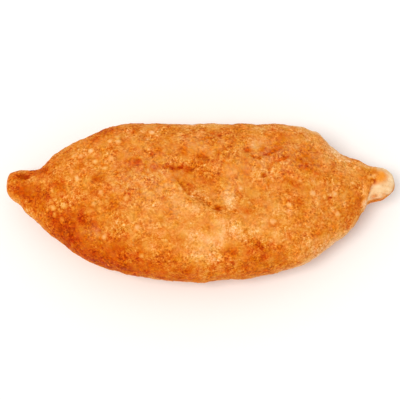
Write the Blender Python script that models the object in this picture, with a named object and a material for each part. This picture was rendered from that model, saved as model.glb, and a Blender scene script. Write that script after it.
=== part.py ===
"""A fried potato piroshki: a bun of yeast dough closed round mashed potato, fried and a little sunken.

One solid. The dough was rolled into an oval, folded over the filling and pinched shut, so the bun
is a long bowed spindle whose two ends run out into pinched nubs. It fried floating, so the flat
that it rests on is small and the rest of the underside is a round belly. As it cooled, the crust on
top sank between its fold lines.

Metres, +Z up. X runs from nub to nub, and -Y is the side that bulges more. The origin lies under
the middle of the bun, on the surface that it stands on.
"""

import math

import bmesh
import bpy
import numpy as np
from mathutils import Vector, noise

MM = 0.001

# Driving sizes, in millimetres as all that follow
LENGTH = 150.0  # nub to nub
NUB_ROUNDING = 1.5  # length over which each nub's end is rounded off
CROWN_SQUARENESS = 2.7  # 2 is an ellipse; more gives the crown a flatter top and a shoulder
BELLY_SQUARENESS = 2.15
SETTLING = 1.6  # depth over which the belly turns into the flat it stands on

# The flat that it stands on
SOLE_HALF_LENGTH = 28.0
SOLE_HALF_WIDTH = 10.0
SOLE_RIM = 0.3  # how high the skin beyond the flat stands at the least

# The mesh
RINGS = 110  # cross-sections along the bun
CROWN_SIDES = 36  # points over the top half of each
BELLY_SIDES = 18
RINGS_TO_NUBS = 0.4  # 0 spaces the cross-sections evenly, 1 draws them all the way to the nubs

# The lines of the bun. Each row is one cross-section: where it stands along X, how far its edge
# reaches on the far and the near side, and how high its edge, its crown and its keel are. A keel
# below 0 is where the belly has settled flat.
LINES = [
    # x, far, near, edge, crown, keel
    (-75.0, 11.2, 3.0, 11.5, 14.3, 8.8),
    (-73.3, 12.3, 2.0, 11.5, 15.7, 7.4),
    (-71.8, 12.8, 0.9, 11.5, 16.3, 6.8),
    (-70.2, 13.0, 0.0, 11.5, 16.7, 6.4),
    (-68.7, 13.1, -1.3, 11.5, 16.9, 6.1),
    (-67.2, 13.1, -3.4, 11.6, 17.2, 5.8),
    (-65.5, 13.2, -4.9, 11.7, 17.6, 5.4),
    (-61.5, 14.2, -8.0, 12.0, 19.0, 4.4),
    (-57.0, 19.2, -13.2, 12.4, 21.0, 3.0),
    (-52.0, 22.0, -17.3, 12.8, 23.0, 1.6),
    (-44.0, 25.5, -23.1, 13.2, 25.4, 0.0),
    (-34.5, 29.5, -26.5, 13.4, 27.4, -1.4),
    (-23.0, 31.2, -29.7, 13.4, 28.6, -2.2),
    (-8.0, 30.6, -31.8, 13.4, 29.2, -2.6),
    (7.5, 30.7, -31.0, 13.4, 29.2, -2.6),
    (21.0, 31.0, -29.7, 13.4, 28.6, -2.2),
    (32.5, 30.8, -26.8, 13.4, 27.6, -1.4),
    (41.0, 28.9, -24.0, 13.2, 26.2, -0.4),
    (46.0, 26.9, -20.0, 13.0, 24.8, 0.6),
    (49.5, 22.7, -16.9, 12.8, 23.6, 1.4),
    (55.0, 18.6, -12.4, 12.6, 21.6, 3.0),
    (58.0, 17.5, -9.7, 12.5, 20.4, 4.0),
    (59.6, 17.4, -7.6, 12.4, 19.9, 4.5),
    (61.0, 17.1, -5.0, 12.3, 19.4, 5.0),
    (64.2, 15.3, -1.7, 12.2, 18.2, 6.2),
    (69.0, 13.8, 0.3, 12.2, 17.6, 7.0),
    (70.6, 13.7, 0.8, 12.2, 17.3, 7.2),
    (72.0, 13.1, 1.9, 12.2, 16.8, 7.7),
    (73.4, 11.6, 2.9, 12.2, 16.1, 8.4),
    (75.0, 9.8, 4.2, 12.2, 14.8, 9.8),
]

# Where the crust on top has sunk as it cooled: middle x and y, half length, half width, how far
# the hollow is turned from X in degrees, and its depth.
HOLLOWS = [
    (12.0, 1.0, 24.0, 9.0, -6, 1.9),  # the crown's middle
    (1.0, 2.0, 8.0, 5.0, -48, 1.0),  # against the long fold
    (25.0, 17.5, 9.0, 4.6, 20, 1.5),  # the dish on the far shoulder
    (33.0, 3.0, 10.0, 4.0, 15, 0.7),
    (-31.0, 9.0, 9.0, 4.0, 10, 0.5),
    (-44.0, -14.0, 7.0, 4.0, -30, 0.5),
    (-68.3, 8.6, 2.6, 1.4, -4, 0.6),  # the pit where the left nub was pinched
    (66.8, 7.0, 1.2, 1.4, 0, 0.4),  # and the right one
    (6.4, -7.7, 1.6, 1.4, 30, 0.9),  # the pit at the end of the long fold
]
HOLLOW_EDGE = 1.3  # 1 fades a hollow out gently, more gives it a fuller bottom and a firmer edge

# The folds. Each line runs with its sunken side on the left: its points, how deep it is, how
# gently the sunken side falls to it, how steeply the other side does, and how high that side's
# lip stands.
FOLDS = [
    # the long fold: its upper edge, then the valley that it runs out in
    (((-9.4, 5.2), (-8.4, 3.6), (-6.5, 0.7), (-4.3, -1.9), (-3.2, -2.9)), 0.5, 3.8, 1.0, 0.5),
    (((-4.5, -1.8), (-0.9, -3.9), (2.0, -6.2), (5.0, -8.4), (6.9, -9.0)), 0.5, 2.2, 1.0, 0.3),
    (((5.4, -8.4), (8.8, -9.3), (11.4, -9.6), (14.7, -9.2), (18.4, -9.6)), 0.4, 1.8, 1.0, 0.2),
    # the wrinkle above it
    (((-12.6, 8.6), (-8.6, 8.1), (-4.4, 7.8), (-2.2, 8.5), (2.6, 10.0)), 0.5, 1.2, 1.0, 0.2),
    # round the dish
    (((15.8, 17.1), (18.0, 14.2), (21.1, 12.8), (25.0, 13.6), (31.0, 17.0)), 0.4, 1.8, 1.0, 0.3),
    (((24.4, 7.6), (27.0, 10.0), (29.3, 11.2), (34.5, 13.2)), 0.5, 1.2, 1.0, 0.3),
]
FOLD_FADE = 2.0  # a fold runs out over this length at each end
LIP_WIDTH = 1.8  # how far behind a fold its lip stands highest
CROWN_FROM, CROWN_TO = 0.2, 0.7  # how far up the skin looks where the crown begins, and is full

# The crust ends in a lip across the right nub's near side: the line it follows, as y and x, and
# how far the bare dough beyond it lies below the crust.
NUB_LIP = [(-9.0, 60.6), (-4.0, 63.4), (-1.0, 63.8), (1.0, 64.1), (4.0, 64.8), (7.0, 66.4), (14.0, 68.0)]
NUB_STEP = 0.7
NUB_SWELL = 0.35  # how far the lip itself stands out
NUB_STEP_LENGTH = 0.6  # half the length that the step takes
NUB_SWELL_PLACE = -1.0
NUB_SWELL_LENGTH = 1.2
NUB_BARE_Y = (4.4, 7.4)  # the step fades out between these

# The lumps of the dough, which the frying set: how far from one to the next, and how high.
LUMPS = ((17.0, 0.6), (7.0, 0.4))
LUMP_SEED = 4.3


def line(column, x):
    """A smooth curve through one column of LINES, read at x."""
    stations = np.array([row[0] for row in LINES])
    values = np.array([row[column] for row in LINES])
    gaps = np.diff(stations)
    rises = np.diff(values) / gaps
    slopes = np.empty_like(values)
    slopes[1:-1] = (rises[:-1] * gaps[1:] + rises[1:] * gaps[:-1]) / (gaps[:-1] + gaps[1:])
    slopes[0], slopes[-1] = rises[0], rises[-1]
    at = np.clip(np.searchsorted(stations, x, side="right") - 1, 0, len(gaps) - 1)
    t = (x - stations[at]) / gaps[at]
    rise = values[at + 1] - values[at]
    start, end = slopes[at] * gaps[at], slopes[at + 1] * gaps[at]
    return values[at] + t * start + t**2 * (3 * rise - 2 * start - end) + t**3 * (start + end - 2 * rise)


def ease(low, high, x):
    """0 below low, 1 above high, and a smooth turn between them."""
    t = min(max((x - low) / (high - low), 0.0), 1.0)
    return t * t * (3 - 2 * t)


def ring_places():
    """Where the cross-sections stand, closer together towards the nubs."""
    even = np.linspace(-1, 1, RINGS + 2)[1:-1]
    drawn = np.sin(even * math.pi / 2)
    return LENGTH / 2 * ((1 - RINGS_TO_NUBS) * even + RINGS_TO_NUBS * drawn)


def section(x):
    """The points of the cross-section at x, round from the far edge over the crown."""
    far, near, edge, crown, keel = (line(column, x) for column in range(1, 6))
    to_tip = LENGTH / 2 - abs(x)
    rounding = math.sqrt(1 - max(0.0, 1 - to_tip / NUB_ROUNDING) ** 2)
    crown_turn = np.arange(CROWN_SIDES) * math.pi / CROWN_SIDES
    belly_turn = math.pi + np.arange(BELLY_SIDES) * math.pi / BELLY_SIDES
    turn = np.concatenate([crown_turn, belly_turn])
    across, up = np.cos(turn), np.sin(turn)
    power = np.where(up > 0, 2 / CROWN_SQUARENESS, 2 / BELLY_SQUARENESS)
    reach = np.where(up > 0, crown - edge, edge - keel) * rounding
    y = (far + near) / 2 + (far - near) / 2 * rounding * np.sign(across) * np.abs(across) ** power
    z = edge + reach * np.sign(up) * np.abs(up) ** power
    return np.stack([np.full(turn.size, x), y, z], axis=1)


def lofted():
    """The bun as a bmesh: the cross-sections joined by quads, with a fan of triangles at each end."""
    bun = bmesh.new()
    sides = CROWN_SIDES + BELLY_SIDES
    rings = [[bun.verts.new(point) for point in section(x)] for x in ring_places()]
    for one, other in zip(rings, rings[1:]):
        for i in range(sides):
            j = (i + 1) % sides
            bun.faces.new((one[i], one[j], other[j], other[i]))
    for ring, x in ((rings[0], -LENGTH / 2), (rings[-1], LENGTH / 2)):
        tip = bun.verts.new((x, (line(1, x) + line(2, x)) / 2, line(3, x)))
        for i in range(sides):
            bun.faces.new((tip, ring[i], ring[(i + 1) % sides]))
    bmesh.ops.recalc_face_normals(bun, faces=bun.faces[:])
    return bun


def hollow_depth(x, y):
    """How far the hollows sink the crown at a place."""
    depth = 0.0
    for middle_x, middle_y, half_length, half_width, turned, deepest in HOLLOWS:
        cos, sin = math.cos(math.radians(turned)), math.sin(math.radians(turned))
        along = ((x - middle_x) * cos + (y - middle_y) * sin) / half_length
        across = ((y - middle_y) * cos - (x - middle_x) * sin) / half_width
        depth += deepest * math.exp(-((along**2 + across**2) ** HOLLOW_EDGE))
    return depth


def fold_rise(x, y):
    """How far the folds raise their lips at a place, less how far they cut into the crown."""
    rise = 0.0
    for points, deepest, gentle, steep, lip in FOLDS:
        gap, from_end = from_line(points, x, y)
        sunken = math.exp(-((gap / (gentle if gap > 0 else steep)) ** 2))
        behind = max(-gap, 0.0) / LIP_WIDTH
        rise += ease(0, FOLD_FADE, from_end) * (lip * behind * math.exp(1 - behind) - deepest * sunken)
    return rise


def from_line(points, x, y):
    """How far a place is from a line, positive on its left, and how far from the line's nearer end."""
    place = Vector((x, y))
    nearest, gap, along, length = math.inf, 0.0, 0.0, 0.0
    for start, end in zip(map(Vector, points), map(Vector, points[1:])):
        run = end - start
        share = min(max((place - start).dot(run) / run.length_squared, 0.0), 1.0)
        off = place - start - run * share
        if off.length < nearest:
            nearest = off.length
            gap = math.copysign(nearest, run.x * off.y - run.y * off.x)
            along = length + share * run.length
        length += run.length
    return gap, min(along, length - along)


def nub_step(x, y):
    """How far the skin steps in beyond the crust's lip, less how far the lip itself stands out."""
    past_lip = x - np.interp(y, *zip(*NUB_LIP))
    step = NUB_STEP * ease(-NUB_STEP_LENGTH, NUB_STEP_LENGTH, past_lip)
    swell = NUB_SWELL * math.exp(-(((past_lip - NUB_SWELL_PLACE) / NUB_SWELL_LENGTH) ** 2))
    return (step - swell) * (1 - ease(*NUB_BARE_Y, y))


def lump(place):
    """How far the dough's lumps stand out at a place, in or out."""
    shift = Vector((LUMP_SEED, LUMP_SEED, LUMP_SEED))
    return sum(height * noise.noise(place / spacing + shift) for spacing, height in LUMPS)


def settled(z):
    """The height of a point once the bun's own weight has flattened what would be below 0."""
    if z > SETTLING:
        return z
    return SETTLING * max(0.0, (z + SETTLING) / (2 * SETTLING)) ** 2


def shape(bun):
    """Raises the lumps, sinks and folds the crown, steps the nub in and settles the bun on its belly."""
    bun.normal_update()
    moves = []
    for vertex in bun.verts:
        x, y, _ = vertex.co
        from_tip = ease(0, NUB_ROUNDING, LENGTH / 2 - abs(x))
        out = from_tip * (lump(vertex.co) - nub_step(x, y))
        on_crown = ease(CROWN_FROM, CROWN_TO, vertex.normal.z)
        up = on_crown * (fold_rise(x, y) - hollow_depth(x, y))
        moves.append((vertex, vertex.normal * out + Vector((0, 0, up))))
    for vertex, move in moves:
        vertex.co += move
        vertex.co.z = settled(vertex.co.z)


def stand(bun):
    """Levels the flat, with a point at each of its corners, and lifts the skin beyond it."""
    for x in (-SOLE_HALF_LENGTH, SOLE_HALF_LENGTH):
        for y in (-SOLE_HALF_WIDTH, SOLE_HALF_WIDTH):
            corner = Vector((x, y, 0))
            nearest = min(bun.verts, key=lambda vertex: (vertex.co - corner).length)
            nearest.co = corner
    for vertex in bun.verts:
        x, y, z = vertex.co
        if abs(x) > SOLE_HALF_LENGTH or abs(y) > SOLE_HALF_WIDTH:
            vertex.co.z = max(z, SOLE_RIM)
        elif z < SETTLING:
            vertex.co.z = 0


def crust_material():
    """Deep-fried wheat dough: an even orange-brown, with the dull gloss of absorbed oil."""
    material = bpy.data.materials.new("fried_crust")
    material.use_nodes = True
    shader = material.node_tree.nodes["Principled BSDF"]
    shader.inputs["Base Color"].default_value = (0.79, 0.25, 0.045, 1)
    shader.inputs["Roughness"].default_value = 0.5
    shader.inputs["Metallic"].default_value = 0.0
    return material


def main():
    for thing in list(bpy.data.objects):
        bpy.data.objects.remove(thing)
    bun = lofted()
    shape(bun)
    stand(bun)
    bmesh.ops.scale(bun, vec=Vector((MM, MM, MM)), verts=bun.verts)
    mesh = bpy.data.meshes.new("piroshki")
    bun.to_mesh(mesh)
    bun.free()
    mesh.shade_smooth()
    mesh.materials.append(crust_material())
    bpy.context.scene.collection.objects.link(bpy.data.objects.new("piroshki", mesh))


main()
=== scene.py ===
"""The looks of a fried potato piroshki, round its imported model."""

import math

import bpy
import numpy as np
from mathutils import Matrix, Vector, noise


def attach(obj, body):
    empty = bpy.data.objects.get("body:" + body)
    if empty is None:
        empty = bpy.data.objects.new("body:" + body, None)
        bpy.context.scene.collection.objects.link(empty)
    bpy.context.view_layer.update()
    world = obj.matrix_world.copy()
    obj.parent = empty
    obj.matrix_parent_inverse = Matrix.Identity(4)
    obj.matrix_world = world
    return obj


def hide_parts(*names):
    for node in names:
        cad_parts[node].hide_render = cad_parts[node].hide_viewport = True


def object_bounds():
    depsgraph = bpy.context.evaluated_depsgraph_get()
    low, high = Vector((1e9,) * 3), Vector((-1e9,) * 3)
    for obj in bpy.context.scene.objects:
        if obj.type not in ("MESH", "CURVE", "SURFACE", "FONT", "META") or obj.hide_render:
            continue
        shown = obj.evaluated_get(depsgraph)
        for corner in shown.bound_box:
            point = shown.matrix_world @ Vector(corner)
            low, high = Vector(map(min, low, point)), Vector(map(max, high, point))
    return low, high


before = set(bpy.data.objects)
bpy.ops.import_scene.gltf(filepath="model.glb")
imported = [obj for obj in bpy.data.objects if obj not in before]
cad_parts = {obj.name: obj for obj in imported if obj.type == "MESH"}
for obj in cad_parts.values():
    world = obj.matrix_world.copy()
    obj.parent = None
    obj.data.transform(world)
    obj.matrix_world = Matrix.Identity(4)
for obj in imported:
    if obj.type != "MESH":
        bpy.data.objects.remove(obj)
cad_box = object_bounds()

# ---- The camera ----
# A long lens looks steeply down on the bun's near side, as one looks at food on a table. It stands
# so far off that the bun shows hardly any perspective.

MM = 0.001
CAMERA_ELEVATION = 70.0  # degrees
CAMERA_DISTANCE = 520 * MM
CAMERA_AIM = Vector((-0.2, 0.8, 13.0)) * MM
CAMERA_SEES_FROM = 10 * MM  # nothing nearer the lens than this is drawn
BUN_IN_VIEW = 0.9765  # the bun's length over the picture's width

camera = bpy.data.objects.new("camera", bpy.data.cameras.new("camera"))
bpy.context.scene.collection.objects.link(camera)
bpy.context.scene.camera = camera
tilt = math.radians(CAMERA_ELEVATION)
camera.location = CAMERA_AIM + CAMERA_DISTANCE * Vector((0, -math.cos(tilt), math.sin(tilt)))
camera.rotation_euler = (math.pi / 2 - tilt, 0, 0)
bun_length = cad_box[1].x - cad_box[0].x
camera.data.lens = camera.data.sensor_width * BUN_IN_VIEW * CAMERA_DISTANCE / bun_length
camera.data.clip_start = CAMERA_SEES_FROM

# ---- The table ----
# A sheet of matt white card, of bleached paper pulp pressed flat. It runs on far past the picture,
# and lies a hair below the bun, so that its face and the flat that the bun stands on stay apart.

CARD_SIZE = 3.0  # metres
CARD_GAP = 0.05 * MM
CARD_COLOUR = "#F4F2EE"
FIBRE_SIZE = 1.1 * MM  # real fibres are 0.03 mm wide, so these are as coarse as it takes to show
FIBRE_DEPTH = 0.1 * MM


def linear(colour):
    """An sRGB hex colour as the linear red, green, blue and alpha that a shader takes."""
    shares = [int(colour[i : i + 2], 16) / 255 for i in (1, 3, 5)]
    return (*(c / 12.92 if c <= 0.04045 else ((c + 0.055) / 1.055) ** 2.4 for c in shares), 1.0)


def add_node(material, kind, inputs=None, **settings):
    """Adds a node with its settings. Each input is a value, or the node or output to link to it."""
    tree = material.node_tree
    node = tree.nodes.new("ShaderNode" + kind)
    for name, value in settings.items():
        setattr(node, name, value)
    for name, value in (inputs or {}).items():
        if isinstance(value, bpy.types.Node):
            value = value.outputs[0]
        if isinstance(value, bpy.types.NodeSocket):
            tree.links.new(value, node.inputs[name])
        else:
            node.inputs[name].default_value = value
    return node


def new_material(name):
    """A material with an empty node tree."""
    material = bpy.data.materials.new(name)
    material.use_nodes = True
    material.node_tree.nodes.clear()
    return material


# White card: its pressed fibres scatter the light evenly, with no gloss and hardly a dent
matt_card = new_material("matt_white_card")
place = add_node(matt_card, "TexCoord").outputs["Object"]
fibres = add_node(matt_card, "TexNoise", {"Vector": place, "Scale": 1 / FIBRE_SIZE, "Detail": 2.0})
dents = add_node(matt_card, "Bump", {"Height": fibres, "Strength": 0.05, "Distance": FIBRE_DEPTH})
surface = {"Base Color": linear(CARD_COLOUR), "Roughness": 0.95, "Normal": dents}
shader = add_node(matt_card, "BsdfPrincipled", surface)
add_node(matt_card, "OutputMaterial", {"Surface": shader})

card_mesh = bpy.data.meshes.new("card")
half = CARD_SIZE / 2
corners = [(-half, -half, 0), (half, -half, 0), (half, half, 0), (-half, half, 0)]
card_mesh.from_pydata(corners, [], [(0, 1, 2, 3)])
card_mesh.materials.append(matt_card)
card = bpy.data.objects.new("card", card_mesh)
card.location.z = cad_box[0].z - CARD_GAP
bpy.context.scene.collection.objects.link(card)

# ---- The light ----
# Wide and even: most of it comes from all round, and a big soft box on the near side, left of the
# camera, gives the crust its relief. It stands so far off that it lights the whole card alike.

SOFT_BOX_WIDTH = 27.0  # degrees, as seen from the bun
SOFT_BOX_STRENGTH = 1.55
SOFT_BOX_SIDE = Vector((-0.24, -0.2, 0.667))  # the way to it from the bun
SKY_COLOUR = "#FFFFFF"
SKY_STRENGTH = 0.79

soft_box = bpy.data.objects.new("soft_box", bpy.data.lights.new("soft_box", "SUN"))
soft_box.data.angle = math.radians(SOFT_BOX_WIDTH)
soft_box.data.energy = SOFT_BOX_STRENGTH
soft_box.rotation_euler = SOFT_BOX_SIDE.to_track_quat("Z", "Y").to_euler()
bpy.context.scene.collection.objects.link(soft_box)

sky = bpy.data.worlds.new("sky")
sky.use_nodes = True
sky.node_tree.nodes["Background"].inputs["Color"].default_value = linear(SKY_COLOUR)
sky.node_tree.nodes["Background"].inputs["Strength"].default_value = SKY_STRENGTH
bpy.context.scene.world = sky
bpy.context.scene.view_settings.view_transform = "Standard"

# ---- The crust: its form ----
# Yeast dough, rolled to an oval, folded over mashed potato and pinched shut, then deep-fried. Its
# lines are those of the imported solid, drawn finely, and its folds are as sharp as the real ones.
# Millimetres, +Z up, with X from nub to nub.

LENGTH = round(bun_length / MM, 1)
NUB_ROUNDING = 1.5  # length over which each nub's end is rounded off
CROWN_SQUARENESS = 2.7  # 2 would give an ellipse
BELLY_SQUARENESS = 2.15

RINGS = 330  # cross-sections along the bun
CROWN_SIDES = 172  # points over the top half of each
BELLY_SIDES = 116  # and under the lower half
RINGS_TO_NUBS = 0.35  # how much they crowd towards the nubs, from 0 to 1

# The cross-sections: where each one is, how far its far and near edges reach in y, and the heights
# of its edge, its crown and its keel. A keel below 0 has settled flat on the table.
FAR, NEAR, EDGE, CROWN, KEEL = range(1, 6)
LINES = [
    # x, far, near, edge, crown, keel
    (-75.0, 11.2, 3.0, 11.5, 14.3, 8.8),
    (-73.3, 12.3, 2.0, 11.5, 15.7, 7.4),
    (-71.8, 12.8, 0.9, 11.5, 16.3, 6.8),
    (-70.2, 13.0, 0.0, 11.5, 16.7, 6.4),
    (-68.7, 13.1, -1.3, 11.5, 16.9, 6.1),
    (-67.2, 13.1, -3.4, 11.6, 17.2, 5.8),
    (-65.5, 13.2, -4.9, 11.7, 17.6, 5.4),
    (-61.5, 14.2, -8.0, 12.0, 19.0, 4.4),
    (-57.0, 19.2, -13.2, 12.4, 21.0, 3.0),
    (-52.0, 22.0, -17.3, 12.8, 23.0, 1.6),
    (-44.0, 25.5, -23.1, 13.2, 25.4, 0.0),
    (-34.5, 29.5, -26.5, 13.4, 27.4, -1.4),
    (-23.0, 31.2, -29.7, 13.4, 28.6, -2.2),
    (-8.0, 30.6, -31.8, 13.4, 29.2, -2.6),
    (7.5, 30.7, -31.0, 13.4, 29.2, -2.6),
    (21.0, 31.0, -29.7, 13.4, 28.6, -2.2),
    (32.5, 30.8, -26.8, 13.4, 27.6, -1.4),
    (41.0, 28.9, -24.0, 13.2, 26.2, -0.4),
    (46.0, 26.9, -20.0, 13.0, 24.8, 0.6),
    (49.5, 22.7, -16.9, 12.8, 23.6, 1.4),
    (55.0, 18.6, -12.4, 12.6, 21.6, 3.0),
    (58.0, 17.5, -9.7, 12.5, 20.4, 4.0),
    (59.6, 17.4, -7.6, 12.4, 19.9, 4.5),
    (61.0, 17.1, -5.0, 12.3, 19.4, 5.0),
    (64.2, 15.3, -1.7, 12.2, 18.2, 6.2),
    (69.0, 13.8, 0.3, 12.2, 17.6, 7.0),
    (70.6, 13.7, 0.8, 12.2, 17.3, 7.2),
    (72.0, 13.1, 1.9, 12.2, 16.8, 7.7),
    (73.4, 11.6, 2.9, 12.2, 16.1, 8.4),
    (75.0, 9.8, 4.2, 12.2, 14.8, 9.8),
]

# Where the crust on top has sunk as it cooled: middle x and y, half length, half width, how far
# the hollow is turned from X in degrees, and its depth.
HOLLOWS = [
    (12.0, 1.0, 24.0, 9.0, -6, 1.9),  # the crown's middle
    (1.0, 2.0, 8.0, 5.0, -48, 1.0),  # against the long fold
    (25.0, 17.5, 9.0, 4.6, 20, 1.5),  # the dish on the far shoulder
    (33.0, 3.0, 10.0, 4.0, 15, 0.7),
    (-31.0, 9.0, 9.0, 4.0, 10, 0.5),
    (-44.0, -14.0, 7.0, 4.0, -30, 0.5),
]

# Smaller pits, written the same way. Oil stood in them, so they are among the darkest places:
# browned, and darkened more by painted shade that grows with their depth.
PITS = [
    (-68.3, 8.6, 2.1, 1.0, -4, 0.5),  # where the left nub was pinched
    (66.8, 7.0, 0.8, 1.2, 0, 0.5),  # and the right one
    (6.4, -7.6, 1.15, 0.85, 30, 1.3),  # at the end of the long fold
    (3.2, -5.9, 0.6, 0.5, 0, 0.4),
    (23.7, 5.6, 1.0, 0.8, 0, 1.0),  # below the dish
    (25.4, 8.2, 0.8, 0.6, 0, 0.6),
    (-23.0, 11.2, 1.2, 0.9, 0, 0.5),
    (-42.0, 13.6, 1.0, 0.8, 0, 0.4),
]
SPOT_SHARPNESS = 1.3  # how sharply a hollow, a pit or a patch ends: 1 would fade like a bell curve

# The folds. Each line runs with its sunken side on the left: its points, how deep it is, how
# gently the sunken side falls to it, how steeply the other side does, how high that side's lip
# stands, and how dark the sunken side is made, by its real browning and by painted shade there.
FOLDS = [
    # the long fold: its upper edge, then the valley that it runs out in
    ([(-9.4, 5.2), (-8.4, 3.6), (-6.5, 0.7), (-4.3, -1.9), (-3.2, -2.9)], 0.3, 4.0, 0.5, 0.4, 0.14),
    ([(-4.5, -1.8), (-0.9, -3.9), (2.0, -6.2), (5.0, -8.4), (6.9, -9.0)], 0.4, 2.2, 0.9, 0.3, 0.08),
    ([(5.4, -8.4), (8.8, -9.3), (11.4, -9.6), (14.7, -9.2), (18.4, -9.6)], 0.4, 1.8, 0.7, 0.2, 0.12),
    # wrinkles above it
    ([(-12.6, 8.6), (-10.8, 8.1), (-8.6, 8.1), (-6.2, 8.4)], 0.4, 0.7, 0.6, 0.2, 0.44),
    ([(-6.6, 6.6), (-4.4, 7.4), (-2.2, 8.4), (0.4, 9.6), (2.6, 10.0)], 0.4, 0.7, 0.6, 0.2, 0.2),
    ([(-12.0, 4.6), (-10.0, 4.4), (-8.0, 3.7)], 0.3, 0.5, 0.5, 0.1, 0.3),
    ([(-1.6, 11.8), (0.4, 13.0), (2.4, 12.6), (3.0, 11.6)], 0.4, 0.6, 0.6, 0.2, 0.3),
    # round the dish
    ([(15.8, 17.1), (18.0, 14.2), (21.1, 12.6), (24.0, 12.9)], 0.3, 1.8, 0.8, 0.3, 0.25),
    ([(22.6, 14.4), (25.6, 14.0), (28.6, 15.4), (31.6, 17.8)], 0.3, 2.0, 0.9, 0.3, 0.17),
    ([(24.4, 7.6), (27.0, 10.0), (29.3, 11.2), (34.5, 13.2)], 0.3, 1.2, 0.8, 0.3, 0.2),
]
FOLD_PIECES = 8  # the straight pieces that stand in for the curve between two of a fold's points
FOLD_FADE = 2.0  # a fold runs out over this length at each end
LIP_WIDTH = 1.8  # how far behind a fold its lip stands highest
# A fold's darkening is its browning and painted shade in the crease together
CREASE_WIDTH = 0.35  # how far a fold's browning reaches up its steep side

# Slow lumps of hand-shaped dough: how far apart, and how high
LUMPS = ((17.0, 0.6), (7.0, 0.4))
LUMP_SEED = 4.3

# Nothing on the bun runs true: its folds, and later its spots, wander off their lines. The folds'
# browning and painted shade come and go too: over which length, by how much, and its least and most.
WANDER_SPACING = 4.0
WANDER_SEEDS = (21.3, 33.9)
FOLD_WANDER = 0.5
CREASE_SPACING = 1.7
CREASE_CHANGE = 1.2
CREASE_RANGE = (0.2, 1.6)
CREASE_SEED = 72.9

CROWN_TURN = (0.2, 0.7)  # how far up the skin looks where the crown begins, and where it is full


def line(column, x):
    """A smooth curve through one column of LINES, read at x."""
    stations = np.array([row[0] for row in LINES])
    values = np.array([row[column] for row in LINES])
    gaps = np.diff(stations)
    rises = np.diff(values) / gaps
    slopes = np.empty_like(values)
    slopes[1:-1] = (rises[:-1] * gaps[1:] + rises[1:] * gaps[:-1]) / (gaps[:-1] + gaps[1:])
    slopes[0], slopes[-1] = rises[0], rises[-1]
    at = np.clip(np.searchsorted(stations, x, side="right") - 1, 0, len(gaps) - 1)
    t = (x - stations[at]) / gaps[at]
    rise = values[at + 1] - values[at]
    start, end = slopes[at] * gaps[at], slopes[at + 1] * gaps[at]
    return values[at] + t * start + t**2 * (3 * rise - 2 * start - end) + t**3 * (start + end - 2 * rise)


def ease(low, high, x):
    """0 below low, 1 above high, and a smooth turn between them."""
    t = np.clip((x - low) / (high - low), 0, 1)
    return t * t * (3 - 2 * t)


def bell(x):
    """1 at 0, with a soft fall to nothing at about 2 on either side."""
    return np.exp(-(x**2))


def loft():
    """The bun's points before frying, a row of them round each cross-section, in one array."""
    even = np.linspace(-1, 1, RINGS + 2)[1:-1]
    x = LENGTH / 2 * ((1 - RINGS_TO_NUBS) * even + RINGS_TO_NUBS * np.sin(even * math.pi / 2))
    crown_turn = np.arange(CROWN_SIDES) * math.pi / CROWN_SIDES
    belly_turn = math.pi + np.arange(BELLY_SIDES) * math.pi / BELLY_SIDES
    turn = np.concatenate([crown_turn, belly_turn])
    columns = (FAR, NEAR, EDGE, CROWN, KEEL)
    far, near, edge, crown, keel = (line(column, x)[:, None] for column in columns)
    to_tip = (LENGTH / 2 - np.abs(x))[:, None]
    rounding = np.sqrt(1 - np.maximum(0, 1 - to_tip / NUB_ROUNDING) ** 2)
    across, up = np.cos(turn)[None, :], np.sin(turn)[None, :]
    power = np.where(up > 0, 2 / CROWN_SQUARENESS, 2 / BELLY_SQUARENESS)
    reach = np.where(up > 0, crown - edge, edge - keel) * rounding
    y = (far + near) / 2 + (far - near) / 2 * rounding * np.sign(across) * np.abs(across) ** power
    z = edge + reach * np.sign(up) * np.abs(up) ** power
    return np.stack([np.broadcast_to(x[:, None], y.shape), y, z], axis=2)


def normals_of(points):
    """The outward direction at each point of the rings."""
    along = np.gradient(points, axis=0)
    around = np.roll(points, -1, axis=1) - np.roll(points, 1, axis=1)
    out = np.cross(around, along)
    return out / np.maximum(np.linalg.norm(out, axis=2, keepdims=True), 1e-9)


def lumpy(points, spacing, seed):
    """Smooth noise at each point, from about -1 to 1, with lumps this far apart."""
    shift = Vector((seed, seed, seed))
    flat = [noise.noise(Vector(point) / spacing + shift) for point in points.reshape(-1, 3)]
    return np.array(flat).reshape(points.shape[:2])


def spots(places, x, y):
    """The sum of soft-edged oval spots: each one's middle, half sizes, turn, and height."""
    total = np.zeros_like(x)
    for middle_x, middle_y, half_length, half_width, turned, height in places:
        cos, sin = math.cos(math.radians(turned)), math.sin(math.radians(turned))
        along = ((x - middle_x) * cos + (y - middle_y) * sin) / half_length
        across = ((y - middle_y) * cos - (x - middle_x) * sin) / half_width
        total += height * np.exp(-((along**2 + across**2) ** SPOT_SHARPNESS))
    return total


def through(points):
    """A smooth curve through the points, as a finer list of them."""
    p = np.array([points[0], *points, points[-1]], float)
    curve = []
    for a, b, c, d in zip(p, p[1:], p[2:], p[3:]):
        for t in np.arange(FOLD_PIECES) / FOLD_PIECES:
            bend = 2 * a - 5 * b + 4 * c - d + t * (3 * (b - c) + d - a)
            curve.append(b + 0.5 * t * (c - a + t * bend))
    return np.array([*curve, p[-1]])


def from_line(points, x, y):
    """How far each place is from a line, positive on its left, and how far from its nearer end."""
    nearest = np.full(x.shape, np.inf)
    gap, along = np.zeros_like(x), np.zeros_like(x)
    length = 0.0
    for start, end in zip(points, points[1:]):
        run = end - start
        run_length = math.hypot(*run)
        share = np.clip(((x - start[0]) * run[0] + (y - start[1]) * run[1]) / run_length**2, 0, 1)
        off_x, off_y = x - start[0] - run[0] * share, y - start[1] - run[1] * share
        distance = np.hypot(off_x, off_y)
        closer = distance < nearest
        nearest = np.where(closer, distance, nearest)
        gap = np.where(closer, distance * np.sign(run[0] * off_y - run[1] * off_x), gap)
        along = np.where(closer, length + share * run_length, along)
        length += run_length
    return gap, np.minimum(along, length - along)


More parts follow.
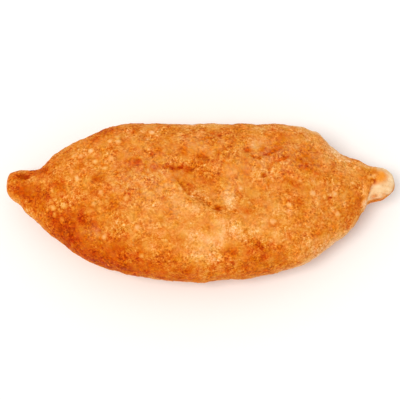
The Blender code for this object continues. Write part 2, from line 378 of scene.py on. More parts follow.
def folds_at(x, y):
    """How far the folds cut into the crown and raise its lips, and how dark their browning and painted
    shade make it.
    """
    rise, brown_and_shade = np.zeros_like(x), np.zeros_like(x)
    for points, deepest, gentle, steep, lip, browning_and_shade in FOLDS:
        gap, from_end = from_line(through(points), x, y)
        fade = ease(0, FOLD_FADE, from_end)
        sunken = bell(gap / np.where(gap > 0, gentle, steep))
        back = np.maximum(-gap, 0) / LIP_WIDTH
        rise += fade * (lip * back * np.exp(1 - back) - deepest * sunken)
        crease = bell(gap / np.where(gap > 0, gentle, CREASE_WIDTH))
        brown_and_shade = np.maximum(brown_and_shade, fade * browning_and_shade * crease)
    return rise, brown_and_shade


dough = loft()
outward = normals_of(dough)
from_tip = ease(0, NUB_ROUNDING, LENGTH / 2 - np.abs(dough[..., 0]))
lumps = from_tip * sum(height * lumpy(dough, spacing, LUMP_SEED) for spacing, height in LUMPS)
wander = np.stack([lumpy(dough, WANDER_SPACING, seed) for seed in WANDER_SEEDS], axis=2)
on_top = ease(*CROWN_TURN, outward[..., 2])
fold_x, fold_y = (dough[..., axis] + FOLD_WANDER * wander[..., axis] for axis in (0, 1))
fold_rise, fold_brown_and_shade = folds_at(fold_x, fold_y)
fold_brown_and_shade *= np.clip(1 + CREASE_CHANGE * lumpy(dough, CREASE_SPACING, CREASE_SEED), *CREASE_RANGE)
pit_depth = on_top * spots(PITS, fold_x, fold_y)
hollow_depth = spots(HOLLOWS, dough[..., 0], dough[..., 1])
bun = dough + outward * lumps[..., None]
bun[..., 2] += on_top * (fold_rise - hollow_depth - pit_depth)

# ---- The crust: what frying did to it ----
# Steam raised the skin in pebbles, wrinkles and little blisters, and burst some of them, and the
# hot oil soon set them hard. They are real relief in its mesh.

# The wrinkles all over and the finer ones down the sides: how far apart, and how high
WRINKLES = ((4.0, 0.34), (2.0, 0.16))
WRINKLE_SEED = 11.7
SIDE_WRINKLE_SPACING = 1.6
SIDE_WRINKLE_HEIGHT = 0.16
SIDE_WRINKLE_SEED = 81.1

# The pebbles side by side over the whole skin
PEBBLE_SPACING = 1.15
PEBBLE_HEIGHT = 0.15
PEBBLE_STEEPNESS = 2.2  # how steeply a pebble rises from the furrows round it
PEBBLE_LEVEL = 0.6  # how far up a pebble the skin's own level runs
LOWEST_PEBBLES = 0.4  # how high they are in the smoother stretches, over the rough ones
ROUGH_SPACING = 9.0  # how far apart the rough stretches are
ROUGH_TURN = (-0.5, 0.4)  # where in that noise they begin, and are full
ROUGH_SEED = 51.2

# Small blisters lie at random all over, and crowd on the left of the crown: that crowd's middle x
# and y, half length and half width, and how many more there are in its middle.
BLISTERS = 1250
BLISTER_RADII = (0.4, 1.0)
BLISTER_STRENGTHS = (0.2, 0.7)
BLISTER_HEIGHT = 0.3  # at a strength of 1
BLISTER_CROWD = (-36.0, 10.0, 22.0, 14.0)
CROWDING = 2.8
BLISTER_SEED = 7

# The big ones stand where they were seen, and their strength goes with their size
BIG_BLISTERS = [
    # x, y, radius: over the left half
    (-18.6, 24.0, 1.3), (-31.1, 19.5, 1.3), (-34.8, 20.2, 1.1), (-31.4, 21.9, 1.0), (-41.7, 16.9, 1.2),
    (-48.2, 15.0, 1.2), (-45.4, 14.4, 1.1), (-40.0, 11.8, 1.2), (-43.5, 10.8, 0.9), (-36.1, 8.9, 1.2),
    (-33.4, 12.1, 1.2), (-46.4, 5.2, 1.2), (-37.2, -1.6, 1.2), (-27.2, 0.5, 1.0), (-32.5, 1.2, 1.0),
    (-27.5, -4.0, 1.3), (-39.8, -5.8, 1.1), (-55.7, -5.3, 1.3), (-51.5, -5.1, 1.3), (-54.8, -8.0, 1.1),
    (-52.4, -10.2, 1.2), (-35.6, -18.1, 1.2), (-23.3, -15.4, 1.3), (-21.8, -25.2, 1.1),
    # and over the right
    (14.9, 0.1, 1.2), (7.8, 12.8, 1.0), (28.7, 5.5, 1.1), (36.9, 3.2, 1.1), (33.1, -6.0, 1.1),
    (42.0, -1.4, 1.3), (48.6, -1.2, 0.8), (27.0, -13.0, 1.3), (50.6, -0.5, 1.2), (51.5, -8.1, 1.2),
    (64.2, 8.2, 1.0),
]
BIG_BLISTER_FOOT = 1.15  # a dome fades out at its foot, so it is made this much wider than it looks
BIG_BLISTER_STRENGTH = 0.7  # for each millimetre of radius

# A blister's outline is ragged: by which share of its radius, and over which length
RAGGEDNESS = 0.36
RAGGED_SPACING = 1.1
RAGGED_SEED = 61.3

# Its dome, and the browner rim round that: where it is, its width and its end, over the radius
DOME_SHARPNESS = 1.5
RIM_PLACE = 1.15
RIM_WIDTH = 0.25
RIM_END = 1.5
POINT_GAP = 0.3  # about how close the crust's points stand, in millimetres
SPARE_POINTS = 2


def pebbles(points):
    """Little domes side by side, 1 at the top of each and 0 in the furrows between them."""
    flat = []
    for point in points.reshape(-1, 3):
        nearest = noise.voronoi(Vector(point) / PEBBLE_SPACING)[0]
        flat.append(nearest[1] - nearest[0])
    return np.minimum(np.array(flat).reshape(points.shape[:2]) * PEBBLE_STEEPNESS, 1)


pebbled = pebbles(dough)
wrinkled = sum(height * lumpy(dough, spacing, WRINKLE_SEED) for spacing, height in WRINKLES)
side_wrinkles = lumpy(dough, SIDE_WRINKLE_SPACING, SIDE_WRINKLE_SEED)
wrinkled += SIDE_WRINKLE_HEIGHT * (1 - on_top) * side_wrinkles
rough = ease(*ROUGH_TURN, lumpy(dough, ROUGH_SPACING, ROUGH_SEED))
pebble_height = PEBBLE_HEIGHT * (LOWEST_PEBBLES + (1 - LOWEST_PEBBLES) * rough)
relief = from_tip * (wrinkled + pebble_height * (pebbled - PEBBLE_LEVEL))
bun += outward * relief[..., None]

# A blister is as likely on any square millimetre of the crust, apart from the crowd
ring_gap = np.linalg.norm(np.gradient(dough, axis=0), axis=2)
side_gap = np.linalg.norm(np.roll(dough, -1, axis=1) - dough, axis=2)
crowd_x, crowd_y, crowd_length, crowd_width = BLISTER_CROWD
along_crowd = (dough[..., 0] - crowd_x) / crowd_length
across_crowd = (dough[..., 1] - crowd_y) / crowd_width
crowded = 1 + CROWDING * np.exp(-(along_crowd**2 + across_crowd**2))
chance = (ring_gap * side_gap * crowded).ravel()
chance /= chance.sum()
ragged = 1 + RAGGEDNESS * lumpy(dough, RAGGED_SPACING, RAGGED_SEED)
blister = np.zeros(dough.shape[:2])
rim = np.zeros(dough.shape[:2])
draw = np.random.default_rng(BLISTER_SEED)


def drawn(low, high):
    """A random value between the two, more often near the low one."""
    return low + (high - low) * draw.random() ** 2


def raise_blister(ring, side, radius, strength):
    """A dome on the crust round one of its points, with a browner rim."""
    reach = int(RIM_END * radius / POINT_GAP) + SPARE_POINTS
    rings = np.clip(np.arange(ring - reach, ring + reach + 1), 0, dough.shape[0] - 1)
    sides = np.arange(side - reach, side + reach + 1) % dough.shape[1]
    block = np.ix_(rings, sides)
    away = np.linalg.norm(dough[block] - dough[ring, side], axis=2) / radius * ragged[block]
    dome = np.maximum(0, 1 - away**2) ** DOME_SHARPNESS
    blister[block] = np.maximum(blister[block], strength * dome)
    rim[block] = np.maximum(rim[block], strength * bell((away - RIM_PLACE) / RIM_WIDTH))


for pick in draw.choice(chance.size, BLISTERS, replace=False, p=chance):
    ring, side = divmod(int(pick), dough.shape[1])
    radius = drawn(*BLISTER_RADII)
    raise_blister(ring, side, radius, drawn(*BLISTER_STRENGTHS))
for x, y, radius in BIG_BLISTERS:
    away = (dough[..., 0] - x) ** 2 + (dough[..., 1] - y) ** 2
    nearest = np.where(outward[..., 2] < 0, np.inf, away).argmin()
    ring, side = divmod(int(nearest), dough.shape[1])
    raise_blister(ring, side, BIG_BLISTER_FOOT * radius, BIG_BLISTER_STRENGTH * radius)
bun += outward * (BLISTER_HEIGHT * blister)[..., None]

# ---- The crust: its browning, and the painted shade of its folds and pits ----
# The bun rolled in the oil as it fried, and its sugars browned unevenly: most where the oil was
# hottest and where it stood in folds and pits, least where the skin bulged out of it. The folds and
# pits carry painted shade on top of that browning, the pits the more the deeper they are.

# The oil was hottest along the near side and the left end, so a brown band follows the edge there:
# how brown it is at each x.
BAND = [
    (-75, 0.0), (-66, 0.06), (-60, 0.12), (-55, 0.25), (-50, 0.33), (-42, 0.32), (-30, 0.26), (-20, 0.2),
    (-10, 0.22), (0, 0.12), (10, 0.12), (18, 0.14), (26, 0.1), (34, 0.0), (75, 0.0),
]
BAND_WIDTH = 7.0
BAND_SHARPNESS = 3  # how sharply it ends away from the edge

# Patches browner than the rest, or paler where the last value is below 0: middle x and y, half
# length, half width, turn, and how much.
PATCHES = [
    # the left nub, and the edges that run on from it
    (-63.0, 0.6, 6.2, 4.0, -28, 0.32),
    (-67.4, 9.1, 2.4, 1.2, 0, 0.36),
    (-63.0, 10.5, 6.0, 2.4, 0, 0.24),
    (-72.0, 5.4, 4.6, 3.4, 0, 0.18),
    (-60.0, -3.4, 3.0, 2.0, -35, 0.1),
    (-71.0, -0.5, 3.4, 1.6, -30, -0.26),
    (-58.4, -1.2, 1.6, 1.6, 0, 0.17),
    (-55.5, 4.6, 4.0, 2.2, 0, 0.16),
    (-52.5, 1.5, 2.0, 5.0, 0, 0.14),
    (-57.0, 13.5, 5.0, 2.0, 25, 0.18),
    (-56.5, -9.0, 3.0, 2.6, 0, 0.1),
    # the near left shoulder, the brownest part
    (-49.0, -12.0, 6.5, 4.2, -35, 0.2),
    (-45.2, -8.8, 4.2, 3.6, -30, 0.25),
    (-39.0, -13.5, 4.6, 2.4, -20, 0.24),
    (-29.0, -19.6, 3.2, 4.6, 0, 0.21),
    (-32.0, -8.6, 2.6, 4.4, 10, 0.14),
    (-40.6, -0.4, 3.4, 2.2, 0, 0.12),
    (-38.4, 4.8, 2.6, 1.7, 25, 0.24),
    (-42.0, -2.6, 7.0, 2.0, 0, 0.07),
    (-45.4, 10.0, 1.4, 1.3, 0, 0.22),
    (-43.0, 9.4, 6.0, 4.0, 0, 0.07),
    # the near middle and the scorched spots over the near edge
    (-24.6, -2.6, 5.0, 2.2, 0, 0.15),
    (-17.4, -20.2, 2.2, 2.2, 0, 0.13),
    (-6.6, -20.4, 2.2, 2.6, 0, 0.13),
    (-12.8, -25.4, 2.6, 1.6, 0, 0.12),
    (10.2, -23.5, 3.2, 2.8, 0, 0.24),
    (20.8, -22.8, 3.6, 2.8, 0, 0.22),
    (34.0, -27.0, 3.4, 1.8, 10, 0.22),
    (-5.5, -31.0, 3.6, 1.4, 0, 0.14),
    # the far edge and the shoulder under it
    (-37.6, 25.0, 5.0, 2.6, 25, 0.3),
    (-25.0, 24.6, 2.6, 3.4, 0, 0.16),
    (-12.0, 23.5, 2.6, 3.4, -40, 0.1),
    (4.6, 23.0, 2.6, 2.0, 0, 0.16),
    (-15.0, 17.6, 5.0, 3.0, 48, 0.12),
    (-25.0, 8.0, 5.0, 3.4, 0, 0.21),
    (30.5, 21.5, 3.0, 3.0, 0, 0.18),
    # the wrinkles, the blister that burst, and the hollow under them
    (-17.0, 8.0, 2.6, 3.4, 0, 0.14),
    (-9.0, 7.6, 5.0, 2.0, -10, 0.22),
    (-7.6, 14.4, 2.0, 2.6, 0, 0.18),
    (0.8, 12.0, 2.2, 1.6, 0, 0.2),
    (6.6, 12.0, 4.0, 3.0, 0, 0.18),
    (2.6, 5.0, 2.8, 3.2, 20, 0.16),
    (17.8, -9.0, 1.6, 1.8, 0, 0.16),
    (1.8, 0.4, 1.6, 2.4, 20, 0.1),
    # the dish, and on from it to the right nub
    (25.0, 16.0, 3.0, 3.2, 0, 0.2),
    (15.6, 12.4, 3.2, 2.0, 0, 0.12),
    (27.4, 2.8, 3.0, 1.4, 0, 0.12),
    (17.0, 6.0, 1.8, 4.0, 0, 0.14),
    (34.3, 3.7, 2.4, 1.8, 0, 0.26),
    (34.0, 12.6, 3.0, 1.8, 0, 0.12),
    (38.6, 11.5, 3.6, 4.0, 0, 0.22),
    (44.6, 6.0, 2.6, 2.4, 0, 0.16),
    (42.8, 17.0, 2.4, 1.8, 0, 0.12),
    (35.4, -4.6, 2.0, 3.0, 10, 0.16),
    (38.8, -6.6, 2.4, 4.0, 0, 0.13),
    (38.6, 0.8, 5.0, 2.2, 0, 0.1),
    (46.8, -4.4, 2.0, 3.4, -20, 0.2),
    (54.0, -9.0, 2.8, 2.8, -30, 0.16),
    (44.0, -15.4, 4.4, 1.6, 25, 0.11),
    (57.0, -3.4, 2.0, 6.6, 8, 0.16),
    (60.4, -0.5, 1.8, 4.6, 8, 0.2),
    (50.5, 10.5, 3.0, 2.4, 0, 0.16),
    # the pale places: the near middle and its edge
    (3.4, -22.4, 7.0, 3.8, 8, -0.27),
    (-1.0, -26.5, 6.0, 2.4, 0, -0.2),
    (4.0, -28.6, 2.4, 1.6, 0, -0.14),
    (8.4, -25.8, 3.2, 2.2, 20, -0.14),
    # the mass by the pit, and the flank left of the long fold
    (11.0, -4.0, 2.1, 4.6, 0, -0.27),
    (-18.4, -4.0, 5.4, 5.4, 0, -0.11),
    (-39.4, -6.4, 1.4, 3.2, 0, -0.07),
    (-9.5, -3.0, 2.6, 6.0, 24, -0.16),
    (-3.0, -8.5, 5.4, 2.6, -20, -0.16),
    (-3.4, -18.2, 3.2, 2.6, 0, -0.2),
    (9.6, -15.4, 4.6, 4.0, 0, -0.15),
    (0.0, -2.4, 1.8, 2.6, 40, -0.12),
    (-13.4, -20.8, 2.6, 2.0, 0, -0.1),
    (-8.8, -15.4, 3.0, 2.4, 0, -0.1),
    # the near right shoulder, and the skin before the right nub
    (21.0, -14.5, 5.0, 3.0, -20, -0.16),
    (29.0, -8.4, 5.6, 3.0, 0, -0.13),
    (42.4, -23.0, 4.0, 2.0, 30, -0.1),
    (50.4, -16.0, 4.4, 1.8, 40, -0.22),
    (43.6, -3.0, 1.6, 2.6, 0, -0.14),
    (54.6, -3.0, 2.4, 1.8, 0, -0.2),
    (63.2, -2.8, 2.0, 3.8, 10, -0.34),
    (64.0, 13.6, 6.0, 1.6, -10, -0.2),
    (59.2, 10.8, 2.2, 2.6, 0, -0.14),
    (65.9, 8.5, 1.3, 1.0, 0, -0.24),
    # the dish's far side, and the far edge
    (19.5, 17.6, 2.6, 2.0, 0, -0.12),
    (-17.0, 23.6, 2.6, 1.8, 0, -0.14),
    (-45.3, 15.0, 3.6, 2.0, 20, -0.12),
    (3.0, 28.5, 9.0, 2.6, 0, -0.2),
    (35.5, 29.0, 4.0, 1.8, -10, -0.16),
]
SPOT_WANDER = 1.4
# Each pit is darkened by browning and painted shade together, more the deeper it is
PIT_BROWNING_AND_SHADE = 0.55  # for each millimetre of depth
RIM_BROWNING = 0.12
PATCH_TURN = (-0.35, 0.15)  # how far up the skin looks where patches begin, and where they are full

spot_x, spot_y = (dough[..., axis] + SPOT_WANDER * wander[..., axis] for axis in (0, 1))
from_near_edge = spot_y - line(NEAR, dough[..., 0])
in_band = np.exp(-((np.maximum(from_near_edge, 0) / BAND_WIDTH) ** BAND_SHARPNESS))
above_belly = ease(*PATCH_TURN, outward[..., 2])
band = in_band * np.interp(dough[..., 0], *zip(*BAND))
browned_and_shaded = above_belly * (spots(PATCHES, spot_x, spot_y) + band)
# Painted shade in the folds and pits goes in with their browning
browned_and_shaded += on_top * fold_brown_and_shade + PIT_BROWNING_AND_SHADE * pit_depth + RIM_BROWNING * rim

# ---- The crust: its right nub ----
# It was pinched late and stayed out of the oil, so it is bare dough. The crust ends in a lip across
# its near side, and of the nub only the top and a few spots low down took some colour.

# The line that the lip follows, as y and x, and how far the bare dough lies below the crust there
NUB_LIP = [(-9.0, 60.6), (-4.0, 63.4), (-1.0, 63.8), (1.0, 64.1), (4.0, 64.8), (7.0, 66.4), (14.0, 68.0)]
NUB_STEP = 0.7
NUB_STEP_LENGTH = 0.6  # half the length that the step takes
NUB_STEP_END = (4.4, 7.4)  # it dies out between these y
NUB_SWELL = 0.35  # how far the lip itself stands out
NUB_SWELL_PLACE = -1.0
NUB_SWELL_LENGTH = 1.2

# Where it is bare: from how far past the lip, and how far up it has to look, on its near half
BARE_PAST_LIP = (-0.3, 0.8)
BARE_UPWARD = (0.1, 0.5)
BARE_WANDER = 0.3  # how much that turn wanders
FAR_HALF = (6.0, 11.0)  # its far half begins, and is full, at these y
FAR_HALF_LOWER = 0.5  # how much lower down that half is bare too
BARE_SMOOTHNESS = 0.7

# Its coloured top: the lower edge, as x and y, and how softly it begins there
CAP_LINE = [(63.4, 2.4), (67.4, 6.4), (71.4, 7.2), (73.6, 12.0)]
CAP_SOFTNESS = 1.7
CAP_FAR_EDGE = (1.6, 4.6)  # how far from the nub's far edge it ends, and is full
CAP_TIP = (69.6, 72.4)  # between these x it fades, and by this share
CAP_FADE = 0.6
GOLDEN_PAST_LIP = (0.0, 2.0)  # past the lip it turns from the crust's browns to an even gold
GOLDEN_PALENESS = 0.1  # in tone

# The spots low down: middle x and y, half length, half width, turn, and how much they hide it
NUB_SPOTS = [
    (66.8, 0.4, 1.5, 1.0, 0, 0.8),
    (70.0, 1.6, 1.4, 0.8, 20, 0.6),
    (66.4, 6.2, 1.2, 0.7, 30, 0.5),
]

past_lip = fold_x - np.interp(dough[..., 1], *zip(*NUB_LIP))
swell = NUB_SWELL * bell((past_lip - NUB_SWELL_PLACE) / NUB_SWELL_LENGTH)
lip_step = NUB_STEP * ease(-NUB_STEP_LENGTH, NUB_STEP_LENGTH, past_lip) - swell
bun -= outward * (from_tip * (1 - ease(*NUB_STEP_END, dough[..., 1])) * lip_step)[..., None]

capped = ease(-CAP_SOFTNESS, CAP_SOFTNESS, spot_y - np.interp(dough[..., 0], *zip(*CAP_LINE)))
capped *= ease(*CAP_FAR_EDGE, line(FAR, dough[..., 0]) - spot_y)
capped *= 1 - CAP_FADE * ease(*CAP_TIP, spot_x)
upward = outward[..., 2] + BARE_WANDER * wander[..., 0] + FAR_HALF_LOWER * ease(*FAR_HALF, dough[..., 1])
bare = ease(*BARE_PAST_LIP, past_lip) * (1 - capped) * ease(*BARE_UPWARD, upward)
bare *= 1 - np.clip(spots(NUB_SPOTS, spot_x, spot_y), 0, 1)
smooth = BARE_SMOOTHNESS * bare
golden = ease(*GOLDEN_PAST_LIP, past_lip) * capped
browned_and_shaded -= GOLDEN_PALENESS * golden

# ---- The crust: its waist ----
# The bun floated as it fried, with the oil's level about its waist, which was covered least. So a
# pale band runs along it, widest and palest towards the right.

WAIST_HEIGHT = 10.0
WAIST_LEFT = (-50.0, -62.0)  # between these x it rises towards the left nub
WAIST_LEFT_RISE = 2.0
WAIST_RIGHT = (20.0, 44.0)  # and here towards the right one
WAIST_RIGHT_RISE = 2.5
WAIST_FAR_SIDE = (2.0, 10.0)  # its far side begins, and is full, at these y
WAIST_FAR_RISE = 6.5  # how much more the right rises there
WAIST_THICKNESS = 2.8
WAIST_WANDER = 1.5
WAIST_END = (56.0, 62.0)  # it ends between these x
WAIST_ENDS_SOONER = 4.0  # and this much sooner on the far side
WAIST_PALENESS = 0.08
WAIST_RIGHT_PALENESS = 0.24  # more than that towards the right
WAIST_BARENESS = 0.2

far_side = ease(*WAIST_FAR_SIDE, dough[..., 1])
to_right = ease(*WAIST_RIGHT, dough[..., 0])
waist_height = WAIST_HEIGHT + WAIST_LEFT_RISE * ease(*WAIST_LEFT, dough[..., 0])
waist_height += (WAIST_RIGHT_RISE + WAIST_FAR_RISE * far_side) * to_right
from_waist = dough[..., 2] + WAIST_WANDER * wander[..., 0] - waist_height
waist = bell(from_waist / WAIST_THICKNESS)
waist *= 1 - ease(*WAIST_END, dough[..., 0] + WAIST_ENDS_SOONER * far_side)
browned_and_shaded -= waist * (WAIST_PALENESS + WAIST_RIGHT_PALENESS * to_right)
bare = np.maximum(bare, WAIST_BARENESS * waist * to_right)

# ---- The crust: its dull film and its smooth places ----
# Flour that the oil didn't take lies on parts of the crown as a thin dull film. Elsewhere the skin
# stayed smooth, where it was stretched tight, or came out rougher than the rest.

# Both lists: middle x and y, half length, half width, turn, and how much. Below 0 it is rougher.
FLOURY = [
    (-20.0, 4.0, 14.0, 11.0, -10, 0.75),
    (11.0, -2.0, 2.6, 6.0, 0, 1.0),
    (27.0, 12.0, 20.0, 7.0, 8, 0.7),
    (24.0, 17.0, 6.0, 4.0, 0, 0.6),
    (-39.0, -16.0, 4.0, 2.4, -20, 0.9),
    (64.0, 8.6, 1.4, 0.8, 0, 1.0),
    (0.0, 19.0, 12.0, 5.0, 0, 0.5),
    (-8.8, -9.0, 2.6, 2.6, 0, 0.8),
]
# The folds' darkening that the film gives way to is their browning and painted shade
FLOUR_OFF_FOLDS = 3.0  # how fast it gives way where a fold is brown
SMOOTH = [
    (22.0, 18.6, 4.6, 3.0, 15, 0.5),  # the dish
    (69.0, 10.4, 4.2, 3.4, 0, 0.8),  # the top of the right nub
    (-4.6, 3.6, 3.6, 3.0, -30, 0.5),  # the flap by the long fold
    (-4.0, -17.0, 13.0, 8.0, 0, 0.44),  # the near side
    (26.0, -13.0, 13.0, 5.0, -8, 0.34),
    (-42.0, 14.0, 18.0, 9.0, 20, -0.44),  # where the blisters crowd
    (3.0, 1.0, 6.0, 5.0, 0, -0.3),
    (27.0, 7.0, 5.0, 5.0, 0, -0.3),
]
SMOOTH_RANGE = (-0.5, 0.9)
BLISTER_SMOOTHNESS = 1.1

floury = on_top * np.clip(spots(FLOURY, spot_x, spot_y) - FLOUR_OFF_FOLDS * fold_brown_and_shade, 0, 1)
smooth += on_top * np.clip(spots(SMOOTH, spot_x, spot_y), *SMOOTH_RANGE)
smooth = np.maximum(smooth, BLISTER_SMOOTHNESS * blister)

# ---- The crust: its mesh ----
# One closed skin: four-sided faces between the rings, and a fan of triangles to each nub's tip. Its
# own weight has pressed it flat where it would be below the table.

SETTLING = 1.6  # depth over which the belly turns into that flat

height = bun[..., 2]
settled = SETTLING * np.maximum(0, (height + SETTLING) / (2 * SETTLING)) ** 2
bun[..., 2] = np.where(height > SETTLING, height, settled)

sides = CROWN_SIDES + BELLY_SIDES
tips = bun[[0, -1]].mean(axis=1)
tips[:, 0] = -LENGTH / 2, LENGTH / 2
verts = np.vstack([bun.reshape(-1, 3), tips]) * MM
ring, side = np.meshgrid(np.arange(RINGS - 1), np.arange(sides), indexing="ij")
here, beside = ring * sides + side, ring * sides + (side + 1) % sides
quads = np.stack([here, beside, beside + sides, here + sides], axis=2)
faces = [tuple(face) for face in quads.reshape(-1, 4).tolist()]
left_tip, right_tip = RINGS * sides, RINGS * sides + 1
last_ring = (RINGS - 1) * sides
for i in range(sides):
    j = (i + 1) % sides
    faces.append((left_tip, j, i))
    faces.append((right_tip, last_ring + i, last_ring + j))
mesh = bpy.data.meshes.new("crust")
mesh.from_pydata(verts.tolist(), [], faces)
mesh.shade_smooth()

# What its material reads at each of its points. A tip has the mean of the ring beside it.
marks = {
    "browned_and_shaded": browned_and_shaded,
    "blister": blister,
    "bare": bare,
    "pebbled": pebbled,
    "floury": floury,
    "smooth": smooth,
    "golden": golden,
}
for name, values in marks.items():
    numbers = np.concatenate([values.ravel(), values[[0, -1]].mean(axis=1)])
    mesh.attributes.new(name, "FLOAT", "POINT").data.foreach_set("value", numbers.astype(np.float32))

# ---- The crust: its material ----
# Deep-fried wheat crust: set, stained dough that has soaked up most of its film of oil, so that it
# hardly shines. What browned most is a reddish brown, what browned least a pale straw, and each
# place has a tone between the two.

CRUST_COLOURS = (
    # tone, from pale to brown, and its colour
    (0.0, "#F4D0A6"),
    (0.12, "#F3BF8B"),
    (0.27, "#EDAC6A"),
    (0.36, "#E89E52"),
    (0.45, "#E1903D"),
    (0.54, "#DA812A"),
    (0.64, "#D27016"),
    (0.75, "#C85D04"),
    (0.87, "#BD4A00"),
    (1.0, "#A33300"),
)
BASE_TONE = 0.575
PEBBLE_PALENESS = 0.06
BLISTER_PALENESS = 0.34
FILM_COLOUR = "#E4AE78"
FILM_ALL_OVER = 0.15
FILM_OF_FLOUR = 0.8
FILM_ON_PALE = 1.6  # how much of the film shows on the palest tone
FILM_LOST = 1.4  # and how much less of it on the brownest
GOLDEN_COLOUR = "#F0932B"
GOLDEN_SHARE = 0.7
BARE_COLOURS = ("#FCE2B8", "#D8964C")
STREAK_WIDTH = 1.5
STREAK_STRETCH = 0.4  # their width over their length
PORE_DEPTH = 0.4

# The patterns in its skin: how far apart in millimetres, the finer detail, and how twisted each is
PATTERNS = {
    "clouds": (20.0, 0.0, 0.6),
    "blotches": (9.0, 0.0, 0.6),
    "flecks": (4.0, 0.0, 0.6),
    "specks": (1.9, 0.0, 0.8),
    "crumbs": (0.45, 0.0, 0.8),  # real crumbs are a quarter of this, which is too fine to show
    "pores": (0.9, 2.0, 0.0),
    "liveliness": (6.0, 1.0, 0.0),
    "pore_shade": (4.0, 1.0, 0.0),
    "dusting": (1.8, 2.0, 0.0),
    "ripeness": (3.2, 1.0, 0.0),
}
PATTERN_MEAN = 0.5  # each of them runs from 0 to 1

# How much the mottle of several sizes adds to its tone, as a swing from pale to brown
COARSE_MOTTLE = {"clouds": 0.14, "blotches": 0.16, "flecks": 0.3}
FINE_MOTTLE = {"specks": 0.33, "crumbs": 0.36, "pores": 0.34}

# What comes and goes from place to place: how much of it there is on average, and the swing in it
SWINGS = {
    "liveliness": (1.0, 3.6),  # how strongly the fine mottle shows
    # the pores' painted shade, which the crust's colour is multiplied by
    "pore_shade": (0.82, 3.6),  # how dark the pores are
    "dusting": (0.2, 1.4),  # how thick the dull film is
    "ripeness": (0.5, 0.028),  # its hue: 0.5 changes nothing, and less is redder
}

crust_skin = new_material("fried_crust")
place = add_node(crust_skin, "TexCoord").outputs["Object"]
at_point = {}
for name in marks:
    at_point[name] = add_node(crust_skin, "Attribute", attribute_name=name).outputs["Fac"]
pattern = {}
for name, (size, detail, twist) in PATTERNS.items():
    texture = {"Vector": place, "Scale": 1 / (size * MM), "Detail": detail, "Distortion": twist}
    pattern[name] = add_node(crust_skin, "TexNoise", texture)
swing = {}
for name, (mean, change) in SWINGS.items():
    scaled = {0: pattern[name], 1: change, 2: mean - PATTERN_MEAN * change}
    swing[name] = add_node(crust_skin, "Math", scaled, operation="MULTIPLY_ADD")

# The smooth places have less of the fine mottle, the pores among it, and of the pores' painted shade
uneven = add_node(crust_skin, "Math", {0: 1.0, 1: at_point["smooth"]}, operation="SUBTRACT")
lively = add_node(crust_skin, "Math", {0: swing["liveliness"], 1: uneven}, operation="MULTIPLY")
pore_shading = add_node(crust_skin, "Math", {0: swing["pore_shade"], 1: uneven}, operation="MULTIPLY")

# Its tone: what frying did, the painted shade of the folds and pits, and the mottle over that
fine = -PATTERN_MEAN * sum(FINE_MOTTLE.values())
for name, weight in FINE_MOTTLE.items():
    fine = add_node(crust_skin, "Math", {0: pattern[name], 1: weight, 2: fine}, operation="MULTIPLY_ADD")
tone = BASE_TONE - PATTERN_MEAN * sum(COARSE_MOTTLE.values())
for layer, weight in (
    *((pattern[name], weight) for name, weight in COARSE_MOTTLE.items()),
    (at_point["browned_and_shaded"], 1.0),
    (at_point["pebbled"], -PEBBLE_PALENESS),
    (at_point["blister"], -BLISTER_PALENESS),
    (fine, lively),
):
    tone = add_node(crust_skin, "Math", {0: layer, 1: weight, 2: tone}, operation="MULTIPLY_ADD")
ramp = add_node(crust_skin, "ValToRGB", {"Fac": tone})
while len(ramp.color_ramp.elements) < len(CRUST_COLOURS):
    ramp.color_ramp.elements.new(1.0)
for element, (position, colour) in zip(ramp.color_ramp.elements, CRUST_COLOURS):
    element.position = position
    element.color = linear(colour)

# The dull film: a little all over and more where it is floury, thin over the browner places
film = {0: at_point["floury"], 1: FILM_OF_FLOUR, 2: FILM_ALL_OVER}
film = add_node(crust_skin, "Math", film, operation="MULTIPLY_ADD")
film = add_node(crust_skin, "Math", {0: film, 1: swing["dusting"]}, operation="MULTIPLY")
shows = add_node(crust_skin, "Math", {0: tone, 1: -FILM_LOST, 2: FILM_ON_PALE}, operation="MULTIPLY_ADD")
film = add_node(crust_skin, "Math", {0: film, 1: shows}, operation="MULTIPLY")
colour = add_node(crust_skin, "MixRGB", {"Fac": film, "Color1": ramp, "Color2": linear(FILM_COLOUR)})

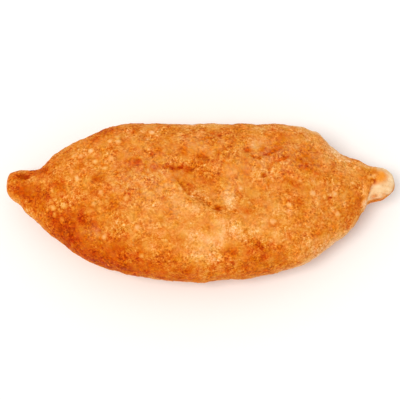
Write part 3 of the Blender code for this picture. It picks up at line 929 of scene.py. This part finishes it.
# Some places turned redder than others of the same tone, and the cap of the nub an even gold
colour = add_node(crust_skin, "HueSaturation", {"Color": colour, "Hue": swing["ripeness"]})
gold = add_node(crust_skin, "Math", {0: at_point["golden"], 1: GOLDEN_SHARE}, operation="MULTIPLY")
colour = add_node(crust_skin, "MixRGB", {"Fac": gold, "Color1": colour, "Color2": linear(GOLDEN_COLOUR)})

# The bare dough of the nub and the waist: cream, in streaks along the bun where it was pulled
pulled = add_node(crust_skin, "Mapping", {"Vector": place, "Scale": (STREAK_STRETCH, 1.0, 1.0)})
streaks = {"Vector": pulled, "Scale": 1 / (STREAK_WIDTH * MM), "Detail": 2.0}
streaks = add_node(crust_skin, "TexNoise", streaks)
pale, toasted = map(linear, BARE_COLOURS)
cream = add_node(crust_skin, "MixRGB", {"Fac": streaks, "Color1": pale, "Color2": toasted})
colour = add_node(crust_skin, "MixRGB", {"Fac": at_point["bare"], "Color1": colour, "Color2": cream})

# The pores: dents in the skin, with painted shade that makes them darker than what stands round
# them; the bump gives them relief as well
above_pores = add_node(crust_skin, "Math", {0: PATTERN_MEAN, 1: pattern["pores"]}, operation="SUBTRACT")
shade = add_node(crust_skin, "Math", {0: above_pores, 1: pore_shading, 2: 1.0}, operation="MULTIPLY_ADD")
colour = {"Fac": 1.0, "Color1": colour, "Color2": shade}
colour = add_node(crust_skin, "MixRGB", colour, blend_type="MULTIPLY")
dents = {"Height": pattern["pores"], "Strength": 1.0, "Distance": PORE_DEPTH * MM}
dents = add_node(crust_skin, "Bump", dents, invert=True)

# Oil has an IOR near 1.45. So little of it stands on the crust that its specular level is low.
surface = {"Base Color": colour, "Roughness": 0.5, "IOR": 1.45, "Specular IOR Level": 0.02, "Normal": dents}
shader = add_node(crust_skin, "BsdfPrincipled", surface)
add_node(crust_skin, "OutputMaterial", {"Surface": shader})

mesh.materials.append(crust_skin)
crust = bpy.data.objects.new("crust", mesh)
bpy.context.scene.collection.objects.link(crust)
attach(crust, "root")
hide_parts("piroshki")
